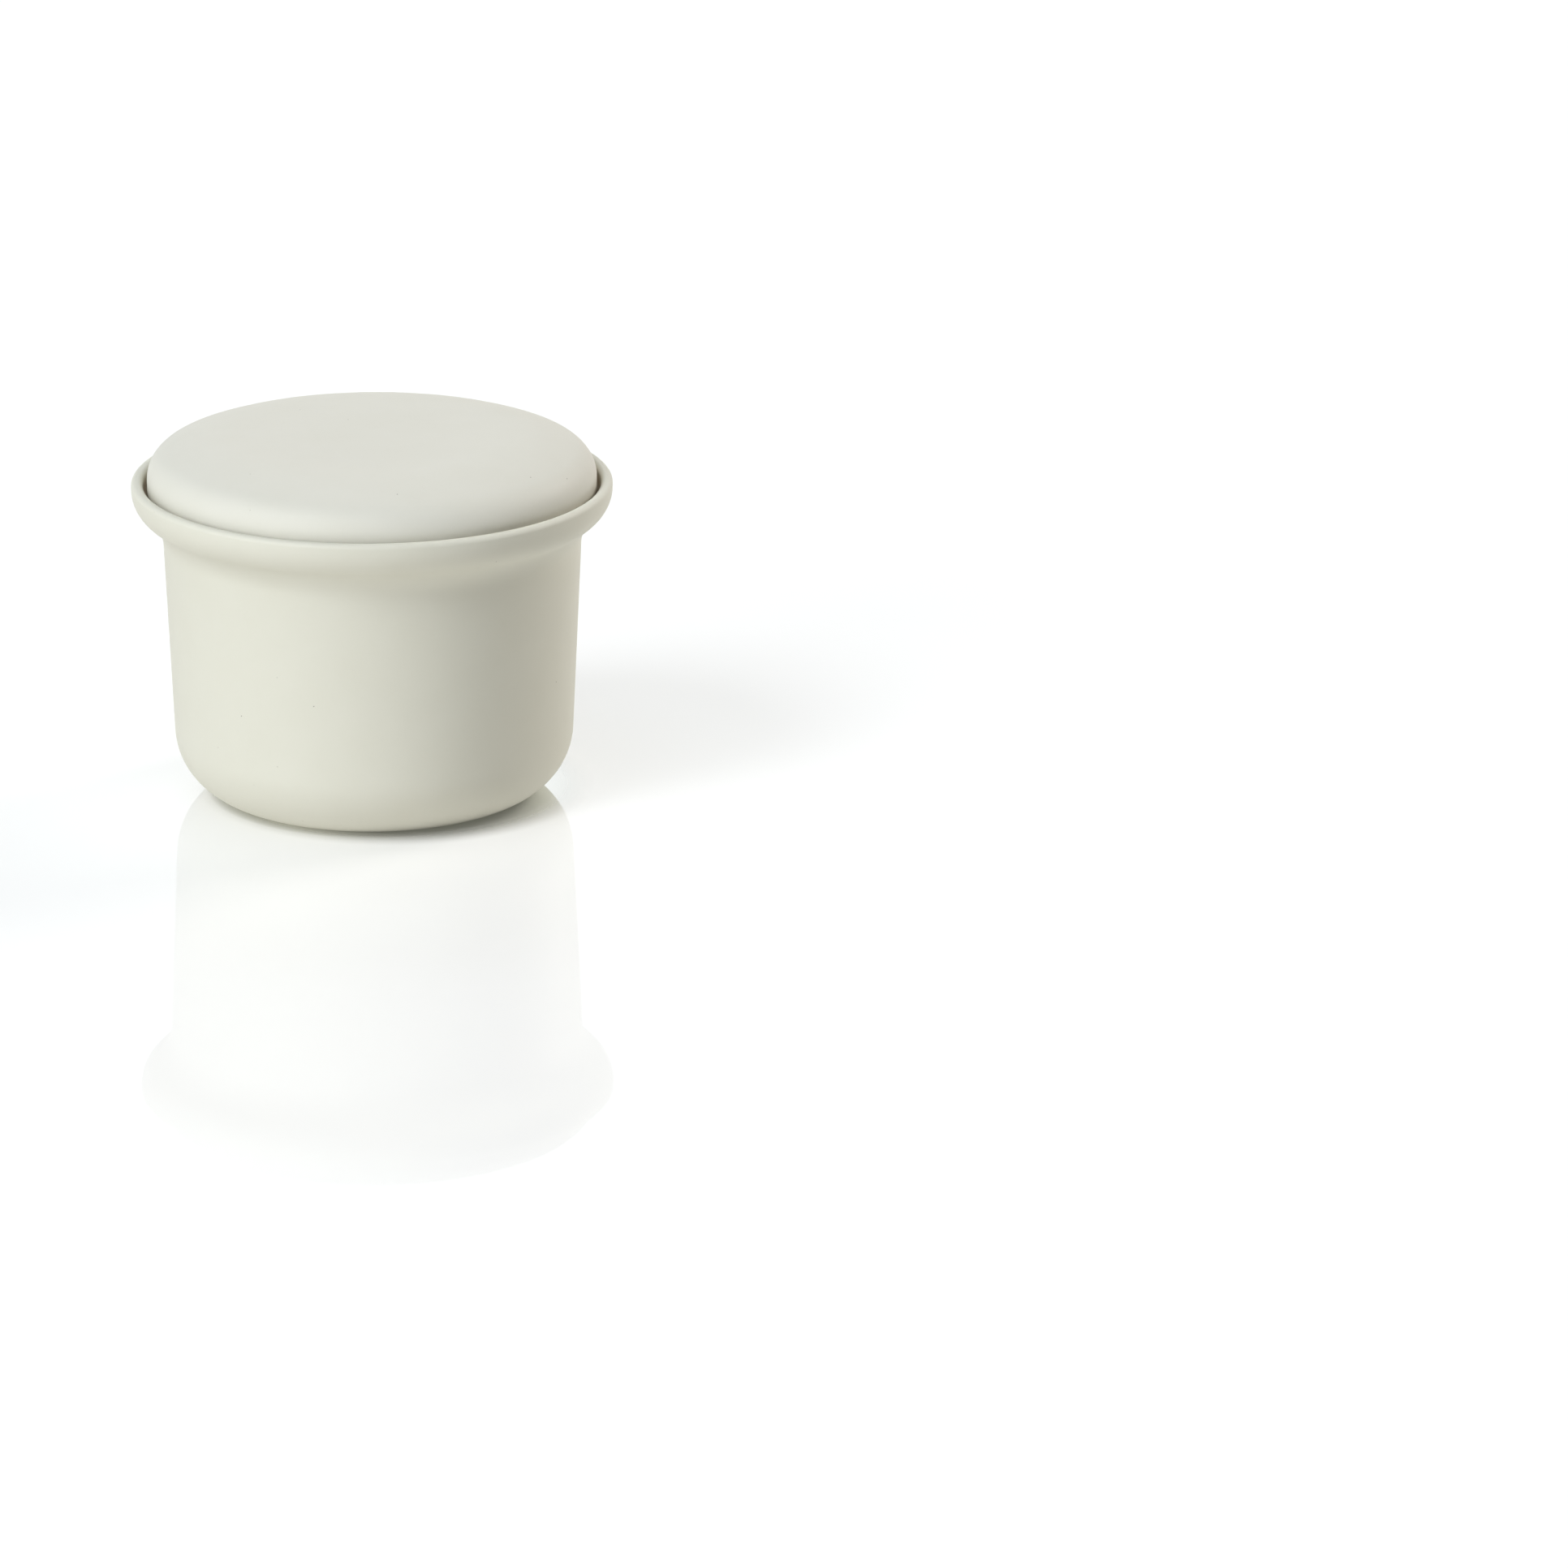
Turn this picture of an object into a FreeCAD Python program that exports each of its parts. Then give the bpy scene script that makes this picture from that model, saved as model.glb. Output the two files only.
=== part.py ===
"""Round lidded stoneware box: a flared bowl and the pillow-shaped lid that rests inside its rim.

Millimetres, +Z up. The origin is on the turning axis, on the surface that the foot ring stands on.
Both pieces are bodies of revolution. Each is drawn as one half section and turned about its axis.
"""
import FreeCAD, Part

import math
import os
import sys

import Sketcher

document = FreeCAD.newDocument("lidded_box")

# Driving dimensions
SIZES = {
    # Bowl, outside
    "body_radius": 52.16,  # outer radius where the straight wall ends and the rim flares out
    "wall_draft": 2.9,  # how much narrower the wall would be if it ran straight down to the table
    "corner_round": 17.5,  # radius of the large soft corner between wall and foot
    "corner_sink": 0.62,  # how far the corner's circle would dip under the table
    "flare_reach": 7.84,  # how far the rim stands out from the top of the wall
    "neck_round": 8.9,  # radius of the hollow curve under the rim
    "flare_round": 8.25,  # radius of the full curve of the rim
    "bowl_height": 80.7,  # height of the lip above the table
    "lip_rise": 2.05,  # height of the lip above the widest line of the rim
    "lip_thickness": 2.9,
    # Bowl, inside and underneath
    "wall_thickness": 3.0,  # thickness of the straight wall
    "floor_thickness": 3.5,  # thickness of the floor over the hollow of the foot
    "floor_round": 12.0,  # radius between the floor and the wall inside
    "gutter_round": 4.5,  # radius of the gutter between the lip and the ledge
    "ledge_edge_round": 0.5,  # rounding of the ledge where it meets the wall inside
    "foot_width": 3.6,  # width of the ring that touches the table
    "foot_recess": 1.2,  # depth of the hollow inside the foot ring
    "foot_edge_round": 0.5,  # rounding of the foot ring's inner edges
    # Lid, outside
    "lid_gap": 1.07,  # clear gap all round between lid and lip
    "lid_side_height": 2.5,  # height of the short upright band at the lid's widest line
    "edge_round": 7.9,  # radius of the lid's outer edge
    "shoulder_round": 47.9,  # radius of the shoulder between edge and crown
    "crown_round": 1500.0,  # radius of the almost flat top
    "dome_rise": 3.1,  # rise of the shoulder and crown above the edge curve
    # Lid, underneath
    "lid_thickness": 3.2,  # thickness of the lid's shell
    "seat_step": 0.6,  # set-back of the seat ring from the curve of the lid's underside
    "flange_play": 0.8,  # clearance between the lid's flange and the bowl's wall
    "flange_depth": 5.0,  # depth of the flange below the ledge
    "flange_thickness": 2.8,
    "seat_edge_round": 0.4,  # rounding of the seat ring's edges
    "shelf_round": 1.2,  # rounding where the flange opens into the hollow of the lid
    "hollow_round": 2.0,  # rounding in the lowest corner of the lid's hollow
    # Share of a wall's thickness that rounds each of its two edges, and the most that a step's edges take
    "full_round_share": 0.45,
}

sheet = document.addObject("Spreadsheet::Sheet", "sizes")
for row, (alias, value) in enumerate(SIZES.items(), start=1):
    sheet.set(f"A{row}", alias.replace("_", " "))
    sheet.set(f"B{row}", str(value))
    sheet.setAlias(f"B{row}", alias)
document.recompute()


def size(alias):
    """The value of one driving dimension."""
    return float(sheet.get(alias))


# Sizes that follow from the driving ones, with the expressions that bind the sketches to them
RIM_RADIUS = "sizes.body_radius + sizes.flare_reach"
WALL_BASE_RADIUS = "sizes.body_radius - sizes.wall_draft"
RIM_HEIGHT = "sizes.bowl_height - sizes.lip_rise"
LEDGE_HEIGHT = "sizes.bowl_height - sizes.lip_rise - sizes.gutter_round"
LID_RADIUS = "sizes.body_radius + sizes.flare_reach - sizes.lip_thickness - sizes.lid_gap"
FLANGE_RADIUS = "sizes.body_radius - sizes.wall_thickness - sizes.flange_play"
rim_radius = size("body_radius") + size("flare_reach")
wall_base_radius = size("body_radius") - size("wall_draft")
rim_height = size("bowl_height") - size("lip_rise")
ledge_height = rim_height - size("gutter_round")
lid_radius = rim_radius - size("lip_thickness") - size("lid_gap")
flange_radius = size("body_radius") - size("wall_thickness") - size("flange_play")

# The parts of a sketch element, and the sketch's own origin and axes, as constraints number them
START, END, CENTRE = 1, 2, 3
ACROSS, UPRIGHT = -1, -2
ORIGIN_POINT = (ACROSS, START)


def half_section(body, name):
    """An empty sketch on the body's upright plane: x is the radius and y the height."""
    sketch = body.newObject("Sketcher::SketchObject", name)
    plane = next(item for item in body.Origin.OriginFeatures if item.Role == "XZ_Plane")
    sketch.AttachmentSupport = [(plane, "")]
    sketch.MapMode = "FlatFace"
    return sketch


def line(sketch, start, end):
    """A straight edge from start to end."""
    return sketch.addGeometry(Part.LineSegment(FreeCAD.Vector(*start), FreeCAD.Vector(*end)), False)


def arc(sketch, centre, radius, first_angle, last_angle):
    """A round edge about centre, drawn anticlockwise between two angles."""
    circle = Part.Circle(FreeCAD.Vector(*centre), FreeCAD.Vector(0, 0, 1), radius)
    return sketch.addGeometry(Part.ArcOfCircle(circle, first_angle, last_angle), False)


def relate(sketch, kind, *elements):
    """Add a constraint that has no size, such as Tangent or Horizontal."""
    sketch.addConstraint(Sketcher.Constraint(kind, *elements))


def dimension(sketch, name, expression, kind, *elements):
    """Add a constraint whose size is bound to the sheet."""
    index = sketch.addConstraint(Sketcher.Constraint(kind, *elements))
    sketch.renameConstraint(index, name)
    sketch.setExpression(f"Constraints.{name}", expression)


def reach(sketch, name, expression, element, place):
    """Bind the distance of one point from the turning axis."""
    measured = sketch.getPoint(element, place).x
    dimension(sketch, name, expression, "DistanceX", *ORIGIN_POINT, element, place, measured)


def height(sketch, name, expression, element, place):
    """Bind the height of one point above the sketch's origin."""
    measured = sketch.getPoint(element, place).y
    dimension(sketch, name, expression, "DistanceY", *ORIGIN_POINT, element, place, measured)


def turn(body, sketch, name):
    """Turn a half section about the sketch's upright axis."""
    feature = body.newObject("PartDesign::Revolution", name)
    feature.Profile = sketch
    feature.ReferenceAxis = (sketch, ["V_Axis"])
    feature.Angle = 360
    sketch.Visibility = False
    document.recompute()
    return feature


def rings_at(feature, level):
    """Every circular edge of a turned shape at one height in its body, smallest first."""
    found = []
    for number, edge in enumerate(feature.Shape.Edges, start=1):
        # The point where a curve meets the axis is an edge without length
        if edge.Degenerated or not isinstance(edge.Curve, Part.Circle):
            continue
        if math.isclose(edge.Curve.Center.z, level, abs_tol=FreeCAD.Base.Precision.approximation()):
            found.append((edge.Curve.Radius, f"Edge{number}"))
    return sorted(found)


def round_edges(body, base, name, edges, expression):
    """Round edges of the base feature with a radius bound to the sheet."""
    feature = body.newObject("PartDesign::Fillet", name)
    feature.Base = (base, edges)
    feature.setExpression("Radius", expression)
    document.recompute()
    return feature


# Bowl
def draw_bowl(sketch):
    """The bowl's half section, drawn from the axis out along the foot, up the outside and down the inside."""
    body_radius = size("body_radius")
    lean = math.atan2(size("wall_draft"), rim_height)
    quarter = math.pi / 2

    # The corner's circle touches the wall and dips under the table
    corner_round = size("corner_round")
    corner_height = corner_round - size("corner_sink")
    corner_centre = (wall_base_radius + corner_height * math.tan(lean) - corner_round / math.cos(lean),
                     corner_height)
    foot_angle = -math.asin(corner_height / corner_round)
    foot_radius = corner_centre[0] + corner_round * math.cos(foot_angle)
    foot_inner = foot_radius - size("foot_width")

    # Two arcs carry the wall out to the rim: the angle where they meet follows from the reach
    neck_round = size("neck_round")
    flare_round = size("flare_round")
    both = neck_round + flare_round
    sweep = math.acos((neck_round * math.cos(lean) + flare_round - size("flare_reach")) / both)
    neck_height = rim_height - both * math.sin(sweep) + neck_round * math.sin(lean)
    neck_centre = (body_radius + neck_round * math.cos(lean), neck_height - neck_round * math.sin(lean))
    flare_centre = (rim_radius - flare_round, rim_height)

    # The inside is a gutter behind the lip, a level ledge, and a wall beside the outer one
    lip_inner = rim_radius - size("lip_thickness")
    gutter_round = size("gutter_round")
    gutter_centre = (lip_inner - gutter_round, rim_height)
    inner_shift = size("wall_thickness") / math.cos(lean)
    ledge_inner = wall_base_radius + ledge_height * math.tan(lean) - inner_shift
    floor_height = size("foot_recess") + size("floor_thickness")
    floor_round = size("floor_round")
    floor_centre_height = floor_height + floor_round
    floor_centre = (wall_base_radius + floor_centre_height * math.tan(lean) - inner_shift
                    - floor_round / math.cos(lean), floor_centre_height)
    corner_top = (corner_centre[0] + corner_round * math.cos(lean),
                  corner_centre[1] - corner_round * math.sin(lean))
    floor_corner_top = (floor_centre[0] + floor_round * math.cos(lean),
                        floor_centre[1] - floor_round * math.sin(lean))

    recess = line(sketch, (0, size("foot_recess")), (foot_inner, size("foot_recess")))
    step = line(sketch, (foot_inner, size("foot_recess")), (foot_inner, 0))
    foot = line(sketch, (foot_inner, 0), (foot_radius, 0))
    corner = arc(sketch, corner_centre, corner_round, foot_angle, -lean)
    wall = line(sketch, corner_top, (body_radius, neck_height))
    neck = arc(sketch, neck_centre, neck_round, math.pi - sweep, math.pi - lean)
    flare = arc(sketch, flare_centre, flare_round, -sweep, 0)
    side = line(sketch, (rim_radius, rim_height), (rim_radius, size("bowl_height")))
    top = line(sketch, (rim_radius, size("bowl_height")), (lip_inner, size("bowl_height")))
    inside = line(sketch, (lip_inner, size("bowl_height")), (lip_inner, rim_height))
    gutter = arc(sketch, gutter_centre, gutter_round, -quarter, 0)
    ledge = line(sketch, (gutter_centre[0], ledge_height), (ledge_inner, ledge_height))
    inner_wall = line(sketch, (ledge_inner, ledge_height), floor_corner_top)
    floor_corner = arc(sketch, floor_centre, floor_round, -quarter, -lean)
    floor = line(sketch, (floor_centre[0], floor_height), (0, floor_height))
    axis = line(sketch, (0, floor_height), (0, size("foot_recess")))
    wall_base = sketch.addGeometry(Part.Point(FreeCAD.Vector(wall_base_radius, 0, 0)), True)

    for element in (recess, foot, top, ledge, floor):
        relate(sketch, "Horizontal", element)
    for element in (step, side, inside, axis):
        relate(sketch, "Vertical", element)
    for first, second in ((recess, step), (step, foot), (foot, corner), (side, top), (top, inside),
                          (ledge, inner_wall), (floor, axis), (axis, recess)):
        relate(sketch, "Coincident", first, END, second, START)
    relate(sketch, "Tangent", corner, END, wall, START)
    relate(sketch, "Tangent", wall, END, neck, END)
    relate(sketch, "Tangent", neck, START, flare, START)
    relate(sketch, "Tangent", flare, END, side, START)
    relate(sketch, "Tangent", inside, END, gutter, END)
    relate(sketch, "Tangent", gutter, START, ledge, START)
    relate(sketch, "Tangent", inner_wall, END, floor_corner, END)
    relate(sketch, "Tangent", floor_corner, START, floor, START)
    relate(sketch, "Parallel", wall, inner_wall)
    relate(sketch, "PointOnObject", axis, START, UPRIGHT)
    relate(sketch, "PointOnObject", foot, START, ACROSS)
    relate(sketch, "PointOnObject", wall_base, START, ACROSS)
    relate(sketch, "PointOnObject", wall_base, START, wall)

    reach(sketch, "wall_base_radius", WALL_BASE_RADIUS, wall_base, START)
    reach(sketch, "body_radius", "sizes.body_radius", wall, END)
    reach(sketch, "rim_radius", RIM_RADIUS, side, START)
    reach(sketch, "lip_inner_radius", RIM_RADIUS + " - sizes.lip_thickness", inside, START)
    height(sketch, "foot_recess", "sizes.foot_recess", recess, START)
    height(sketch, "corner_centre_height", "sizes.corner_round - sizes.corner_sink", corner, CENTRE)
    height(sketch, "rim_height", RIM_HEIGHT, side, START)
    height(sketch, "bowl_height", "sizes.bowl_height", side, END)
    height(sketch, "gutter_centre_height", RIM_HEIGHT, gutter, CENTRE)
    height(sketch, "floor_height", "sizes.foot_recess + sizes.floor_thickness", floor, END)
    for element, name in ((corner, "corner_round"), (neck, "neck_round"), (flare, "flare_round"),
                          (gutter, "gutter_round"), (floor_corner, "floor_round")):
        dimension(sketch, name, f"sizes.{name}", "Radius", element, size(name))
    dimension(sketch, "foot_width", "sizes.foot_width", "DistanceX", foot, START, foot, END,
              size("foot_width"))
    dimension(sketch, "wall_thickness", "sizes.wall_thickness", "Distance", wall, END, inner_wall,
              size("wall_thickness"))


bowl = document.addObject("PartDesign::Body", "bowl")
bowl.Label = "bowl"
bowl_section = half_section(bowl, "bowl_section")
draw_bowl(bowl_section)
bowl_turned = turn(bowl, bowl_section, "bowl_turned")
bowl_lip = round_edges(bowl, bowl_turned, "bowl_lip",
                       [name for radius, name in rings_at(bowl_turned, size("bowl_height"))],
                       "sizes.lip_thickness * sizes.full_round_share")
bowl_ledge = round_edges(bowl, bowl_lip, "bowl_ledge", [rings_at(bowl_lip, ledge_height)[0][1]],
                         "sizes.ledge_edge_round")
foot_rings = rings_at(bowl_ledge, 0)[:1] + rings_at(bowl_ledge, size("foot_recess"))
bowl_foot = round_edges(bowl, bowl_ledge, "bowl_foot", [name for radius, name in foot_rings],
                        "min(sizes.foot_edge_round; sizes.foot_recess * sizes.full_round_share)")


# Lid
def draw_lid(sketch):
    """The lid's half section, with its seat ring at height zero, drawn over the top and back underneath."""
    quarter = math.pi / 2
    edge_round = size("edge_round")
    shoulder_round = size("shoulder_round")
    crown_round = size("crown_round")
    thickness = size("lid_thickness")
    band_top = size("gutter_round") + size("lid_side_height")
    lid_top = band_top + edge_round + size("dome_rise")

    # The shoulder's circle touches the edge's circle and the crown's from the inside
    edge_centre = (lid_radius - edge_round, band_top)
    crown_centre = (0, lid_top - crown_round)
    between = math.dist(edge_centre, crown_centre)
    to_crown = crown_round - shoulder_round
    to_edge = shoulder_round - edge_round
    along = (to_crown ** 2 - to_edge ** 2 + between ** 2) / (2 * between)
    aside = math.sqrt(to_crown ** 2 - along ** 2)
    heading = math.atan2(edge_centre[1] - crown_centre[1], edge_centre[0])
    shoulder_centre = (along * math.cos(heading) - aside * math.sin(heading),
                       crown_centre[1] + along * math.sin(heading) + aside * math.cos(heading))
    crown_angle = math.atan2(shoulder_centre[1] - crown_centre[1], shoulder_centre[0])
    edge_angle = math.atan2(edge_centre[1] - shoulder_centre[1], edge_centre[0] - shoulder_centre[0])

    # Underneath, the heel follows the gutter at the gap's distance and the seat ring stands proud of it
    heel_round = size("gutter_round") - size("lid_gap")
    heel_centre = (lid_radius - heel_round, size("gutter_round"))
    seat_outer = heel_centre[0] - size("seat_step")
    flange_inner = flange_radius - size("flange_thickness")
    shelf_height = size("lid_gap") + thickness
    hollow_radius = lid_radius - thickness

    axis = line(sketch, (0, lid_top - thickness), (0, lid_top))
    crown = arc(sketch, crown_centre, crown_round, crown_angle, quarter)
    shoulder = arc(sketch, shoulder_centre, shoulder_round, edge_angle, crown_angle)
    edge = arc(sketch, edge_centre, edge_round, 0, edge_angle)
    band = line(sketch, (lid_radius, band_top), (lid_radius, size("gutter_round")))
    heel = arc(sketch, heel_centre, heel_round, -quarter, 0)
    under = line(sketch, (heel_centre[0], size("lid_gap")), (seat_outer, size("lid_gap")))
    step = line(sketch, (seat_outer, size("lid_gap")), (seat_outer, 0))
    seat = line(sketch, (seat_outer, 0), (flange_radius, 0))
    flange_out = line(sketch, (flange_radius, 0), (flange_radius, -size("flange_depth")))
    flange_end = line(sketch, (flange_radius, -size("flange_depth")), (flange_inner, -size("flange_depth")))
    flange_in = line(sketch, (flange_inner, -size("flange_depth")), (flange_inner, shelf_height))
    shelf = line(sketch, (flange_inner, shelf_height), (hollow_radius, shelf_height))
    hollow_side = line(sketch, (hollow_radius, shelf_height), (hollow_radius, band_top))
    hollow_edge = arc(sketch, edge_centre, edge_round - thickness, 0, edge_angle)
    hollow_shoulder = arc(sketch, shoulder_centre, shoulder_round - thickness, edge_angle, crown_angle)
    hollow_crown = arc(sketch, crown_centre, crown_round - thickness, crown_angle, quarter)

    for element in (under, seat, flange_end, shelf):
        relate(sketch, "Horizontal", element)
    for element in (axis, band, step, flange_out, flange_in, hollow_side):
        relate(sketch, "Vertical", element)
    for first, second in ((under, step), (step, seat), (seat, flange_out), (flange_out, flange_end),
                          (flange_end, flange_in), (flange_in, shelf), (shelf, hollow_side)):
        relate(sketch, "Coincident", first, END, second, START)
    relate(sketch, "Coincident", axis, END, crown, END)
    relate(sketch, "Coincident", axis, START, hollow_crown, END)
    relate(sketch, "Tangent", crown, START, shoulder, END)
    relate(sketch, "Tangent", shoulder, START, edge, END)
    relate(sketch, "Tangent", edge, START, band, START)
    relate(sketch, "Tangent", band, END, heel, END)
    relate(sketch, "Tangent", heel, START, under, START)
    relate(sketch, "Tangent", hollow_side, END, hollow_edge, START)
    relate(sketch, "Tangent", hollow_edge, END, hollow_shoulder, START)
    relate(sketch, "Tangent", hollow_shoulder, END, hollow_crown, START)
    relate(sketch, "Coincident", edge, CENTRE, hollow_edge, CENTRE)
    relate(sketch, "Coincident", shoulder, CENTRE, hollow_shoulder, CENTRE)
    relate(sketch, "Coincident", crown, CENTRE, hollow_crown, CENTRE)
    relate(sketch, "PointOnObject", crown, CENTRE, UPRIGHT)
    relate(sketch, "PointOnObject", axis, START, UPRIGHT)
    relate(sketch, "PointOnObject", seat, START, ACROSS)

    reach(sketch, "lid_radius", LID_RADIUS, band, START)
    reach(sketch, "flange_radius", FLANGE_RADIUS, flange_out, START)
    reach(sketch, "flange_inner_radius", FLANGE_RADIUS + " - sizes.flange_thickness", flange_in, START)
    reach(sketch, "hollow_radius", LID_RADIUS + " - sizes.lid_thickness", hollow_side, START)
    height(sketch, "band_top", "sizes.gutter_round + sizes.lid_side_height", band, START)
    height(sketch, "lid_top", "sizes.gutter_round + sizes.lid_side_height + sizes.edge_round"
           " + sizes.dome_rise", axis, END)
    height(sketch, "heel_centre_height", "sizes.gutter_round", heel, CENTRE)
    height(sketch, "shelf_height", "sizes.lid_gap + sizes.lid_thickness", shelf, START)
    for element, name in ((edge, "edge_round"), (shoulder, "shoulder_round"), (crown, "crown_round")):
        dimension(sketch, name, f"sizes.{name}", "Radius", element, size(name))
    dimension(sketch, "heel_round", "sizes.gutter_round - sizes.lid_gap", "Radius", heel, heel_round)
    dimension(sketch, "seat_step", "sizes.seat_step", "DistanceX", step, START, under, START,
              size("seat_step"))
    dimension(sketch, "flange_depth", "sizes.flange_depth", "DistanceY", flange_out, END, flange_out, START,
              size("flange_depth"))


lid = document.addObject("PartDesign::Body", "lid")
lid.Label = "lid"
lid_section = half_section(lid, "lid_section")
draw_lid(lid_section)
lid_turned = turn(lid, lid_section, "lid_turned")
flange_lip = round_edges(lid, lid_turned, "flange_lip",
                         [name for radius, name in rings_at(lid_turned, -size("flange_depth"))],
                         "sizes.flange_thickness * sizes.full_round_share")
seat_rings = rings_at(flange_lip, 0)
lid_seat = round_edges(lid, flange_lip, "lid_seat", [name for radius, name in seat_rings],
                       "sizes.seat_edge_round")
shelf_rings = rings_at(lid_seat, size("lid_gap") + size("lid_thickness"))
lid_shelf = round_edges(lid, lid_seat, "lid_shelf", [shelf_rings[0][1]], "sizes.shelf_round")
hollow_rings = rings_at(lid_shelf, size("lid_gap") + size("lid_thickness"))
lid_hollow = round_edges(lid, lid_shelf, "lid_hollow", [hollow_rings[-1][1]], "sizes.hollow_round")

# The lid's seat ring rests on the bowl's ledge
lid.setExpression("Placement.Base.z", LEDGE_HEIGHT)
document.recompute()

# Checks on every object before anything is written
problems = [item.Name for item in document.Objects if "Invalid" in item.State or "Error" in item.State]
for sketch in (bowl_section, lid_section):
    if not sketch.FullyConstrained:
        problems.append(sketch.Name + " is not fully constrained")
for body in (bowl, lid):
    if body.Shape.isNull() or not body.Shape.isValid() or len(body.Shape.Solids) != 1:
        problems.append(body.Name + " is not one valid solid")
if problems:
    sys.exit("Not written: " + ", ".join(problems))

# Export
os.makedirs("parts", exist_ok=True)
for body in (bowl, lid):
    body.Shape.exportStep(os.path.join("parts", body.Label + ".step"))
    box = body.Shape.optimalBoundingBox(True, False)
    print(f"{body.Label}: volume {body.Shape.Volume:.0f} mm3,"
          f" x {box.XMin:.2f} to {box.XMax:.2f}, z {box.ZMin:.2f} to {box.ZMax:.2f}")
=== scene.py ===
"""A plain round lidded stoneware box, standing closed on a glossy white studio floor."""
import math

import bpy
import numpy as np
from mathutils import Matrix, Vector


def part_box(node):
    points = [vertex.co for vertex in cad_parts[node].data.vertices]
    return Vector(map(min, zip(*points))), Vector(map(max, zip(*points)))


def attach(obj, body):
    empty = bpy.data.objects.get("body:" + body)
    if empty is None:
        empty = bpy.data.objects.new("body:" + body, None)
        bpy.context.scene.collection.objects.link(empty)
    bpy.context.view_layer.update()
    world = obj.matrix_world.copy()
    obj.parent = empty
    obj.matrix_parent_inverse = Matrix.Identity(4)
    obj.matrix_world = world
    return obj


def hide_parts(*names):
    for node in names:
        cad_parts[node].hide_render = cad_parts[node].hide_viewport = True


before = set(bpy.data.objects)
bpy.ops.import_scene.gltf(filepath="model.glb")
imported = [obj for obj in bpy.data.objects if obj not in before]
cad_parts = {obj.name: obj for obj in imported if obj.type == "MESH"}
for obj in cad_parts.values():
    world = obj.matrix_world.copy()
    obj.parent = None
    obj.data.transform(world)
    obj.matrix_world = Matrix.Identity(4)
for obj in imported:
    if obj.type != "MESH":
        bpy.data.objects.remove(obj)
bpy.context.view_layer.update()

# Bowl
# One piece of pale stoneware, jiggered in a plaster mould, sponged smooth, glazed only inside and
# fired. The wall leans out a little, the base corner is large and soft, and the rim flares in an S.
# The gutter behind the lip is painted browner and darker than the rest: painted shade for the gap
# between lid and lip.
bowl_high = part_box("bowl")[1]
rim_radius = bowl_high.x
bowl_height = bowl_high.z
lip_rise = 0.00205
rim_height = bowl_height - lip_rise
lip_thickness = 0.0029
lip_round = 0.0013
lip_inner = rim_radius - lip_thickness
flare_reach = 0.00784
neck_round = 0.0089
flare_round = 0.00825
body_radius = rim_radius - flare_reach
wall_lean = math.radians(2.57)
corner_round = 0.0175
corner_sink = 0.00062
foot_width = 0.0036
foot_recess = 0.0012
foot_edge_round = 0.0005
wall_thickness = 0.003
floor_thickness = 0.0035
floor_round = 0.012
gutter_round = 0.0045
ledge_edge_round = 0.0005
ledge_height = rim_height - gutter_round
glaze_fade = 0.004
gap_shade_fade = 0.003
quarter = math.pi / 2
arc_step = math.radians(5)
fewest_points = 3
longest_stride = 0.0012
shortest_stride = 0.000001


def bend(centre_radius, centre_height, radius, first, last):
    """Points round part of a circle, about one in each arc_step.

    Each is the centre plus the radius times the cosine and sine of an angle, and the angles are
    spread evenly from first to last.
    """
    angle = np.linspace(first, last, fewest_points + int(abs(last - first) / arc_step))
    return np.column_stack((centre_radius + radius * np.cos(angle),
                            centre_height + radius * np.sin(angle)))


def filled(outline):
    """The outline with more points on its long stretches, and no doubled ones where two arcs meet.

    Each stretch from one point to the next is cut into equal steps no longer than longest_stride.
    """
    strides = np.linalg.norm(np.diff(outline, axis=0), axis=1)
    outline = outline[np.append(True, strides > shortest_stride)]
    stretches = []
    for start, end in zip(outline[:-1], outline[1:]):
        step_count = max(1, math.ceil(np.linalg.norm(end - start) / longest_stride))
        stretches.append(np.linspace(start, end, step_count, endpoint=False))
    return np.vstack(stretches + [outline[-1:]])


# The neck's round and the flare's round make the S, and touch each other at the angle sweep
both_rounds = neck_round + flare_round
sweep = math.acos((neck_round * math.cos(wall_lean) + flare_round - flare_reach) / both_rounds)
neck_height = rim_height - both_rounds * math.sin(sweep) + neck_round * math.sin(wall_lean)


def wall_at(height, inset):
    """Radius of a line beside the bowl's wall: it grows with height by the tangent of the lean."""
    return body_radius + (height - neck_height) * math.tan(wall_lean) - inset / math.cos(wall_lean)


corner_height = corner_round - corner_sink
corner_radius = wall_at(corner_height, corner_round)
foot_angle = -math.asin(corner_height / corner_round)
foot_radius = corner_radius + corner_round * math.cos(foot_angle)
foot_inner = foot_radius - foot_width
floor_height = foot_recess + floor_thickness
floor_corner = wall_at(floor_height + floor_round, wall_thickness + floor_round)
ledge_inner = wall_at(ledge_height, wall_thickness)

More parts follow.
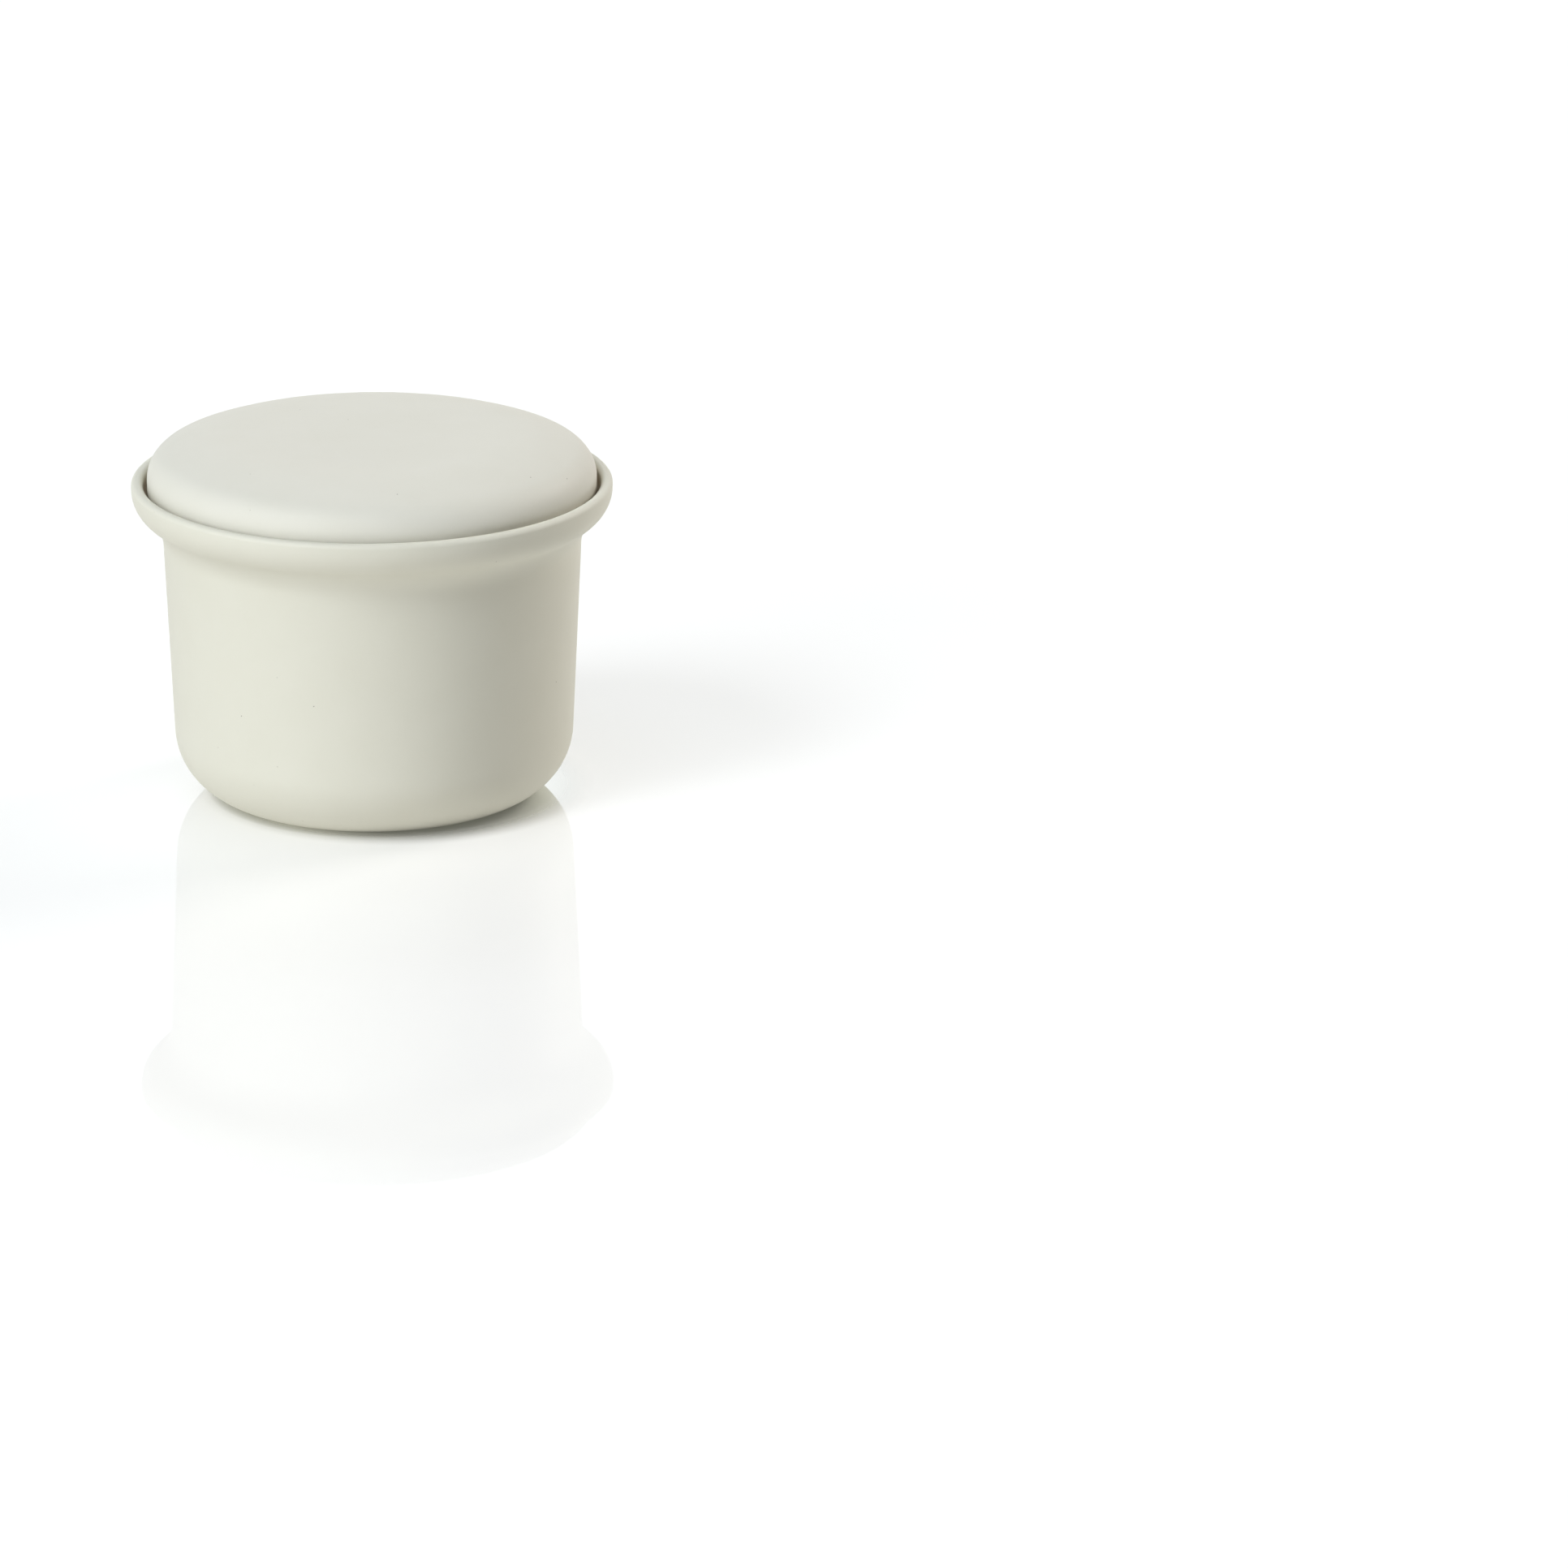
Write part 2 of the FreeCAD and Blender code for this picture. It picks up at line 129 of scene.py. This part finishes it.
bowl_outline = np.vstack((
    [[0, foot_recess]],
    bend(foot_inner - foot_edge_round, foot_recess - foot_edge_round, foot_edge_round, quarter, 0),
    bend(foot_inner + foot_edge_round, foot_edge_round, foot_edge_round, math.pi, 3 * quarter),
    bend(corner_radius, corner_height, corner_round, foot_angle, -wall_lean),
    bend(body_radius + neck_round * math.cos(wall_lean), neck_height - neck_round * math.sin(wall_lean),
         neck_round, math.pi - wall_lean, math.pi - sweep),
    bend(rim_radius - flare_round, rim_height, flare_round, -sweep, 0),
    bend(rim_radius - lip_round, bowl_height - lip_round, lip_round, 0, quarter),
    bend(lip_inner + lip_round, bowl_height - lip_round, lip_round, quarter, math.pi),
    bend(lip_inner - gutter_round, rim_height, gutter_round, 0, -quarter),
    bend(ledge_inner + ledge_edge_round, ledge_height - ledge_edge_round, ledge_edge_round,
         quarter, math.pi),
    bend(floor_corner, floor_height + floor_round, floor_round, -wall_lean, -quarter),
    [[0, floor_height]],
))


def turned(name, outline, marks, around=256, warp_share=0.002):
    """A closed body turned from a half outline that starts and ends on the axis.

    Point (i, j) is outline point j swung to angle i: radius times cosine, radius times sine, height.
    Firing warps it a little: the radius loses up to warp_share of itself, as half of one minus the
    cosine of twice the angle. Each of the marks, named lists of one number from 0 to 1 for each
    outline point, is kept on the surface for its material.
    """
    angle = np.linspace(0, 2 * math.pi, around, endpoint=False)[:, None]
    radius = outline[1:-1, 0] * (1 - warp_share * (1 - np.cos(2 * angle)) / 2)
    height = np.broadcast_to(outline[1:-1, 1], radius.shape)
    swung = np.stack((radius * np.cos(angle), radius * np.sin(angle), height), axis=-1)
    points = np.vstack((swung.reshape(-1, 3), [[0, 0, outline[0, 1]], [0, 0, outline[-1, 1]]]))

    rows = radius.shape[1]
    here = np.arange(around)[:, None] * rows + np.arange(rows - 1)
    beside = np.roll(here, -1, axis=0)
    quads = np.stack((here, beside, beside + 1, here + 1), axis=-1).reshape(-1, 4)
    first = np.arange(around) * rows
    start_fan = np.stack((np.full(around, around * rows), np.roll(first, -1), first), axis=-1)
    last = first + rows - 1
    end_fan = np.stack((last, np.roll(last, -1), np.full(around, around * rows + 1)), axis=-1)

    mesh = bpy.data.meshes.new(name)
    mesh.from_pydata(points.tolist(), [], quads.tolist() + start_fan.tolist() + end_fan.tolist())
    mesh.shade_smooth()
    for mark, amount in marks.items():
        amounts = np.append(np.tile(amount[1:-1], around), [amount[0], amount[-1]])
        mesh.attributes.new(mark, "FLOAT", "POINT").data.foreach_set("value", amounts)
    piece = bpy.data.objects.new(name, mesh)
    bpy.context.scene.collection.objects.link(piece)
    return piece


# Past the lip the outline runs down inside: through the gutter, marked for painted shade, and below the
# ledge glazed
bowl_outline = filled(bowl_outline)
past_lip = np.arange(len(bowl_outline)) > np.argmax(bowl_outline[:, 1])
below_ledge = np.clip((ledge_height - bowl_outline[:, 1]) / glaze_fade, 0, 1)
# The gutter between the lip's top and the ledge is marked for the gap's painted shade
in_gutter = np.clip((bowl_height - bowl_outline[:, 1]) / gap_shade_fade, 0, 1) - below_ledge
bowl_marks = {"glazed": past_lip * below_ledge, "gap_shaded": past_lip * in_gutter}
bowl = turned("stoneware_bowl", bowl_outline, bowl_marks)


def cloudy(tree, place, across, detail):
    """Soft noise from 0 to 1 whose largest clouds are about so many metres across."""
    noise = tree.nodes.new("ShaderNodeTexNoise")
    noise.inputs["Scale"].default_value = 1 / across
    noise.inputs["Detail"].default_value = detail
    tree.links.new(place, noise.inputs["Vector"])
    return noise.outputs["Fac"]


def marked(tree, mark):
    """A mark that the surface keeps, from 0 to 1. It is 0 all over on a piece without that mark."""
    kept_mark = tree.nodes.new("ShaderNodeAttribute")
    kept_mark.attribute_name = mark
    return kept_mark.outputs["Fac"]


def ranged(tree, value, start, end, low, high, way="LINEAR"):
    """The value carried from the range start to end over to the range low to high, and kept in it."""
    carried = tree.nodes.new("ShaderNodeMapRange")
    carried.interpolation_type = way
    for name, bound in zip(("From Min", "From Max", "To Min", "To Max"), (start, end, low, high)):
        carried.inputs[name].default_value = bound
    tree.links.new(value, carried.inputs["Value"])
    return carried.outputs["Result"]


def combined(tree, operation, first, second):
    """One operation of arithmetic on two outputs, or on an output and a number."""
    arithmetic = tree.nodes.new("ShaderNodeMath")
    arithmetic.operation = operation
    for socket, value in zip(arithmetic.inputs, (first, second)):
        if isinstance(value, bpy.types.NodeSocket):
            tree.links.new(value, socket)
        else:
            socket.default_value = value
    return arithmetic.outputs["Value"]


def tinted(tree, share, first, second):
    """The first colour where the share is 0 and the second where it is 1."""
    mix = tree.nodes.new("ShaderNodeMix")
    mix.data_type = "RGBA"
    tree.links.new(share, mix.inputs["Factor"])
    for socket, colour in ((mix.inputs["A"], first), (mix.inputs["B"], second)):
        if isinstance(colour, bpy.types.NodeSocket):
            tree.links.new(colour, socket)
        else:
            socket.default_value = (*colour, 1)
    return mix.outputs["Result"]


def pinholes(tree, place, spacing, hole_radius, kept_share):
    """1 in small round holes and 0 between them.

    Space is cut into cells of the given spacing with a point in each. A hole is where the surface
    comes closer to a point than the hole's radius, and only kept_share of the points have one.
    """
    cells = tree.nodes.new("ShaderNodeTexVoronoi")
    cells.inputs["Scale"].default_value = 1 / spacing
    tree.links.new(place, cells.inputs["Vector"])
    chance = tree.nodes.new("ShaderNodeSeparateColor")
    tree.links.new(cells.outputs["Color"], chance.inputs["Color"])
    kept = combined(tree, "LESS_THAN", chance.outputs["Red"], kept_share)
    edge = hole_radius / spacing
    hole = ranged(tree, cells.outputs["Distance"], edge / 2, edge, 1, 0)
    return combined(tree, "MULTIPLY", hole, kept)


bowl_pale, bowl_deep = (0.775, 0.768, 0.670), (0.762, 0.754, 0.653)
# Painted shade: the dark warm brown of the gap between lid and lip, put into the clay's colour
gap_shade_brown = (0.66, 0.57, 0.44)
liner_glaze = (0.800, 0.795, 0.720)
hole_brown = (0.16, 0.14, 0.11)
matt, satin, glossy = 0.56, 0.48, 0.24
faint_gloss = 0.2
cloud_size, cloud_detail = 0.012, 5
grain_size, grain_detail = 0.0007, 3
noise_low, noise_high = 0.3, 0.7
grain_low, grain_high = 0.35, 0.65
grain_share = 0.3
pinhole_spacing, pinhole_radius = 0.003, 0.00017
pinhole_share = 0.07
glaze_waver = 0.1
glaze_edge_low, glaze_edge_high = 0.45, 0.5
relief = 0.00004
relief_strength = 0.5
grain_rise, pinhole_fall = 0.5, 2


def stoneware(name, pale, deep):
    """Fired clay between two close tones, with fine grain and a few pinholes.

    It is painted browner where it is marked as lying in the gap between lid and bowl: painted shade.
    It is glazed where it is marked so, up to an edge that the clouds of tone make wander.
    """
    clay = bpy.data.materials.new(name)
    clay.use_nodes = True
    tree = clay.node_tree
    shader = tree.nodes["Principled BSDF"]
    shader.inputs["Specular IOR Level"].default_value = faint_gloss
    place = tree.nodes.new("ShaderNodeTexCoord").outputs["Object"]
    clouds = cloudy(tree, place, cloud_size, cloud_detail)
    grain = cloudy(tree, place, grain_size, grain_detail)
    holes = pinholes(tree, place, pinhole_spacing, pinhole_radius, pinhole_share)
    waver = ranged(tree, clouds, 0, 1, -glaze_waver, glaze_waver)
    wavy_glaze = combined(tree, "ADD", marked(tree, "glazed"), waver)
    glaze = ranged(tree, wavy_glaze, glaze_edge_low, glaze_edge_high, 0, 1)

    body_tone = tinted(tree, ranged(tree, clouds, noise_low, noise_high, 0, 1), pale, deep)
    grained = tinted(tree, ranged(tree, grain, grain_low, grain_high, 0, grain_share), body_tone, pale)
    # Painted shade: the gap's brown where the surface is marked for it
    gap_shaded = tinted(tree, marked(tree, "gap_shaded"), grained, gap_shade_brown)
    coated = tinted(tree, glaze, gap_shaded, liner_glaze)
    tree.links.new(tinted(tree, holes, coated, hole_brown), shader.inputs["Base Color"])
    dullness = ranged(tree, grain, noise_low, noise_high, satin, matt)
    gloss_drop = combined(tree, "MULTIPLY", glaze, satin - glossy)
    tree.links.new(combined(tree, "SUBTRACT", dullness, gloss_drop), shader.inputs["Roughness"])

    rise = combined(tree, "MULTIPLY", grain, grain_rise)
    fall = combined(tree, "MULTIPLY", holes, pinhole_fall)
    bump = tree.nodes.new("ShaderNodeBump")
    bump.inputs["Strength"].default_value = relief_strength
    bump.inputs["Distance"].default_value = relief
    tree.links.new(combined(tree, "SUBTRACT", rise, fall), bump.inputs["Height"])
    tree.links.new(bump.outputs["Normal"], shader.inputs["Normal"])
    return clay


bowl.data.materials.append(stoneware("bowl_clay", bowl_pale, bowl_deep))
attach(bowl, "bowl")
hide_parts("bowl")

# Lid
# One piece of the same clay, cast hollow: a smooth pillow without a knob. A seat ring carries it on
# the ledge inside the bowl's lip, and a flange below the ring keeps it centred in the neck. What
# faces the gutter and the neck is painted as brown as the gutter: painted shade of the gap.
lid_low, lid_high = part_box("lid")
lid_radius = lid_high.x
lid_gap = lip_inner - lid_radius
lid_thickness = 0.0032
lid_side_height = 0.0025
edge_round = 0.0079
shoulder_round = 0.0479
crown_round = 1.5
seat_step = 0.0006
seat_edge_round = 0.0004
flange_play = 0.0008
flange_thickness = 0.0028
flange_end_round = 0.00126
shelf_round = 0.0012
hollow_round = 0.002
flange_radius = body_radius - wall_thickness - flange_play
flange_inner = flange_radius - flange_thickness
heel_round = gutter_round - lid_gap
heel_radius = lid_radius - heel_round
seat_outer = heel_radius - seat_step
under_height = ledge_height + lid_gap
shelf_height = under_height + lid_thickness
hollow_radius = lid_radius - lid_thickness
band_top = ledge_height + gutter_round + lid_side_height
edge_centre = (lid_radius - edge_round, band_top)
crown_centre = (0, lid_high.z - crown_round)
# The lid's tones are a little paler and bluer than the bowl's: partly painted light, for the brighter,
# cooler look that the lamps give its top.
lid_pale_and_lit, lid_deep_and_lit = (0.778, 0.769, 0.690), (0.765, 0.756, 0.673)

# The shoulder's circle touches the crown's and the edge's, so its centre lies at known distances
# from both of theirs: along is its place on the line from the crown's centre to the edge's, and
# aside is how far it stands off that line
between = math.dist(edge_centre, crown_centre)
to_crown = crown_round - shoulder_round
along = (to_crown ** 2 - (shoulder_round - edge_round) ** 2 + between ** 2) / (2 * between)
aside = math.sqrt(to_crown ** 2 - along ** 2)
heading = math.atan2(edge_centre[1] - crown_centre[1], edge_centre[0])
shoulder_centre = (along * math.cos(heading) - aside * math.sin(heading),
                   crown_centre[1] + along * math.sin(heading) + aside * math.cos(heading))
crown_angle = math.atan2(shoulder_centre[1] - crown_centre[1], shoulder_centre[0])
edge_angle = math.atan2(edge_centre[1] - shoulder_centre[1], edge_centre[0] - shoulder_centre[0])

lid_outline = np.vstack((
    bend(*crown_centre, crown_round - lid_thickness, quarter, crown_angle),
    bend(*shoulder_centre, shoulder_round - lid_thickness, crown_angle, edge_angle),
    bend(*edge_centre, edge_round - lid_thickness, edge_angle, 0),
    bend(hollow_radius - hollow_round, shelf_height + hollow_round, hollow_round, 0, -quarter),
    bend(flange_inner + shelf_round, shelf_height - shelf_round, shelf_round, quarter, math.pi),
    bend(flange_inner + flange_end_round, lid_low.z + flange_end_round, flange_end_round,
         math.pi, 3 * quarter),
    bend(flange_radius - flange_end_round, lid_low.z + flange_end_round, flange_end_round,
         -quarter, 0),
    bend(flange_radius + seat_edge_round, ledge_height - seat_edge_round, seat_edge_round,
         math.pi, quarter),
    bend(seat_outer - seat_edge_round, ledge_height + seat_edge_round, seat_edge_round,
         -quarter, 0),
    [[seat_outer, under_height]],
    bend(heel_radius, ledge_height + gutter_round, heel_round, -quarter, 0),
    bend(*edge_centre, edge_round, 0, edge_angle),
    bend(*shoulder_centre, shoulder_round, edge_angle, crown_angle),
    bend(*crown_centre, crown_round, crown_angle, quarter),
))
lid_outline = filled(lid_outline)
past_flange = np.arange(len(lid_outline)) > np.argmin(lid_outline[:, 1])
# Below the lip's top, the flange's outside and the heel of the lid get the gap's painted shade
behind_lip = np.clip((rim_height - lid_outline[:, 1]) / gap_shade_fade, 0, 1)
lid = turned("stoneware_lid", lid_outline, {"gap_shaded": past_flange * behind_lip})
lid.data.materials.append(stoneware("lid_clay", lid_pale_and_lit, lid_deep_and_lit))
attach(lid, "lid")
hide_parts("lid")

# Floor
# A glossy white acrylic sheet that shows white by itself. The box darkens it by its shadow and by
# its mirror image, which fades towards the front. Beside the foot the mirror image is made stronger
# and the sheet dimmer: painted contact shade. The sheet also glows for the scattered light that it
# sends back to the box, painted bounce light, which is dimmer beside the foot, painted shade.
floor_half = 6.0

# The lamps alone would bring a pure white sheet to about floor_level, and bring this one to about
# floor_lit_share
floor_level = 0.87
floor_lit_share = 0.60
glow_strength = 0.445
nearby = 0.002
# Painted contact shade round the foot: within this ring the sheet dims and its mirror image grows, set
# off towards the back right where the lamps' shade falls
shade_centre = (0.0052, 0.0018, 0)
shade_start, shade_end = 0.038, 0.0508
contact_shade_level = 0.7
# Painted shade on the sheet's bounce near the foot, and the strength of the painted glow that lights
# the box
dim_centre = (0.0075, -0.009, 0)
dim_start, dim_end = 0.029, 0.036
dim_colour, bright_colour = (0.20, 0.197, 0.187), (0.45, 0.442, 0.42)
dim_glow, bright_glow = 0.15, 0.34
warm_white = (1, 0.98, 0.93)
pure_white = (1, 1, 1)
mirror_colour = (0.965, 1, 0.98)
mirror_touching, mirror_near, mirror_far = 0.84, 0.285, 0.205
mirror_start, mirror_end = 0.050, 0.16
mirror_blur = 0.015

floor_mesh = bpy.data.meshes.new("studio_floor")
floor_corners = [(-floor_half, -floor_half, 0), (floor_half, -floor_half, 0),
                 (floor_half, floor_half, 0), (-floor_half, floor_half, 0)]
floor_mesh.from_pydata(floor_corners, [], [(0, 1, 2, 3)])
studio_floor = bpy.data.objects.new("studio_floor", floor_mesh)
bpy.context.scene.collection.objects.link(studio_floor)


def seen_plainly(tree):
    """1 for a ray from the camera or one that gloss or glass sends on, and 0 for scattered light."""
    path = tree.nodes.new("ShaderNodeLightPath")
    by_gloss, by_glass = path.outputs["Is Glossy Ray"], path.outputs["Is Transmission Ray"]
    sent_on = combined(tree, "MAXIMUM", by_gloss, by_glass)
    return combined(tree, "MAXIMUM", path.outputs["Is Camera Ray"], sent_on)


def away_from(tree, centre):
    """Distance of the shaded point from a place on the sheet, in metres."""
    measured = tree.nodes.new("ShaderNodeVectorMath")
    measured.operation = "DISTANCE"
    measured.inputs[1].default_value = centre
    tree.links.new(tree.nodes.new("ShaderNodeTexCoord").outputs["Object"], measured.inputs[0])
    return measured.outputs["Value"]


def glowing(tree, colour, glow_colour, strength):
    """A matt surface of one colour that gives off some light of another colour by itself."""
    spread_light = tree.nodes.new("ShaderNodeBsdfDiffuse")
    tree.links.new(colour, spread_light.inputs["Color"])
    own_light = tree.nodes.new("ShaderNodeEmission")
    own_light.inputs["Color"].default_value = (*glow_colour, 1)
    tree.links.new(strength, own_light.inputs["Strength"])
    both = tree.nodes.new("ShaderNodeAddShader")
    tree.links.new(spread_light.outputs["BSDF"], both.inputs[0])
    tree.links.new(own_light.outputs["Emission"], both.inputs[1])
    return both.outputs["Shader"]


def blended(tree, share, first, second):
    """The first shader where the share is 0 and the second where it is 1."""
    mix = tree.nodes.new("ShaderNodeMixShader")
    for socket, value in zip(mix.inputs, (share, first, second)):
        tree.links.new(value, socket)
    return mix.outputs["Shader"]


acrylic = bpy.data.materials.new("white_acrylic")
acrylic.use_nodes = True
tree = acrylic.node_tree
tree.nodes.remove(tree.nodes["Principled BSDF"])

# The light that the sheet sends back to the box: a glow of its own, painted bounce light, dimmer and
# darker beside the foot, painted shade
brightness = ranged(tree, away_from(tree, dim_centre), dim_start, dim_end, 0, 1)
bounce_colour = tinted(tree, brightness, dim_colour, bright_colour)
bounce_glow = ranged(tree, brightness, 0, 1, dim_glow, bright_glow)
bounce = glowing(tree, bounce_colour, warm_white, bounce_glow)

# The sheet as it is seen, without its mirror image, dimmed beside the foot by painted contact shade and
# by occlusion of its glow
away = away_from(tree, shade_centre)
painted_contact_shade = ranged(tree, away, shade_start, shade_end, contact_shade_level, 1, "SMOOTHSTEP")
sheet_colour = combined(tree, "MULTIPLY", painted_contact_shade, floor_lit_share / floor_level)
openness = tree.nodes.new("ShaderNodeAmbientOcclusion")
openness.inputs["Distance"].default_value = nearby
open_glow = combined(tree, "MULTIPLY", openness.outputs["AO"], glow_strength)
sheet_glow = combined(tree, "MULTIPLY", open_glow, painted_contact_shade)
sheet = glowing(tree, sheet_colour, pure_white, sheet_glow)

# The mirror image, made stronger beside the foot as painted contact shade
mirror = tree.nodes.new("ShaderNodeBsdfGlossy")
mirror.inputs["Color"].default_value = (*mirror_colour, 1)
mirror.inputs["Roughness"].default_value = mirror_blur
contact_shade_mirror = ranged(tree, away, shade_start, shade_end, mirror_touching - mirror_near, 0, "SMOOTHSTEP")
fading = ranged(tree, away, mirror_start, mirror_end, mirror_near, mirror_far)
mirror_share = combined(tree, "ADD", contact_shade_mirror, fading)
polished = blended(tree, mirror_share, sheet, mirror.outputs["BSDF"])
surface = blended(tree, seen_plainly(tree), bounce, polished)
tree.links.new(surface, tree.nodes["Material Output"].inputs["Surface"])
floor_mesh.materials.append(acrylic)

# Light
# White surroundings, which only the camera and gloss see, and five large soft lamps: two at the front
# left that light the box, one behind on the right that lights its edge, and two that fill from behind
# and from above.
world = bpy.data.worlds.new("studio")
bpy.context.scene.world = world
world.use_nodes = True
tree = world.node_tree
surround = tree.nodes["Background"]
surround.inputs["Color"].default_value = (*pure_white, 1)
tree.links.new(seen_plainly(tree), surround.inputs["Strength"])


def lamp(name, turn, rise, brightness, spread, warmth):
    """A far lamp. It stands turn degrees round from the front towards the right, rise degrees up.

    It looks spread degrees wide, and a white sheet that faces it shows the brightness. Its red is
    raised by the warmth and its blue lowered by it.
    """
    light = bpy.data.lights.new(name, "SUN")
    light.energy = brightness * math.pi
    light.angle = math.radians(spread)
    light.color = (1 + warmth, 1, 1 - warmth)
    placed = bpy.data.objects.new(name, light)
    placed.rotation_euler = (quarter - math.radians(rise), 0, math.radians(turn))
    bpy.context.scene.collection.objects.link(placed)
    return placed


lamp("key_high", turn=-52, rise=44, brightness=0.380, spread=24, warmth=-0.04)
lamp("key_low", turn=-43, rise=14, brightness=0.388, spread=34, warmth=-0.02)
lamp("edge", turn=121, rise=26, brightness=0.445, spread=24, warmth=0.07)
back_lamp = lamp("back", turn=180, rise=33, brightness=0.13, spread=28, warmth=-0.05)
back_lamp.visible_glossy = False
lamp("top", turn=-15, rise=73, brightness=0.270, spread=44, warmth=-0.03)
bpy.context.scene.view_settings.view_transform = "Standard"

# Camera
# Long lens, a little above the box and turned to the right of it, as the picture was taken.
camera_place = Vector((0, -2.3370, 0.7510))
camera_turn = math.radians(2.5256)
camera_tilt = math.radians(17.8106)
camera_roll = math.radians(0.2173)
sensor_width = 36.0
frame_width = 1932
focal_pixels = 12000
nearest_seen, farthest_seen = 0.1, 50
lens = bpy.data.cameras.new("camera")
lens.sensor_width = sensor_width
lens.lens = focal_pixels / frame_width * sensor_width
lens.clip_start = nearest_seen
lens.clip_end = farthest_seen
camera = bpy.data.objects.new("camera", lens)
bpy.context.scene.collection.objects.link(camera)
camera.matrix_world = (Matrix.Translation(camera_place)
                       @ Matrix.Rotation(-camera_turn, 4, "Z")
                       @ Matrix.Rotation(quarter - camera_tilt, 4, "X")
                       @ Matrix.Rotation(camera_roll, 4, "Z"))
bpy.context.scene.camera = camera
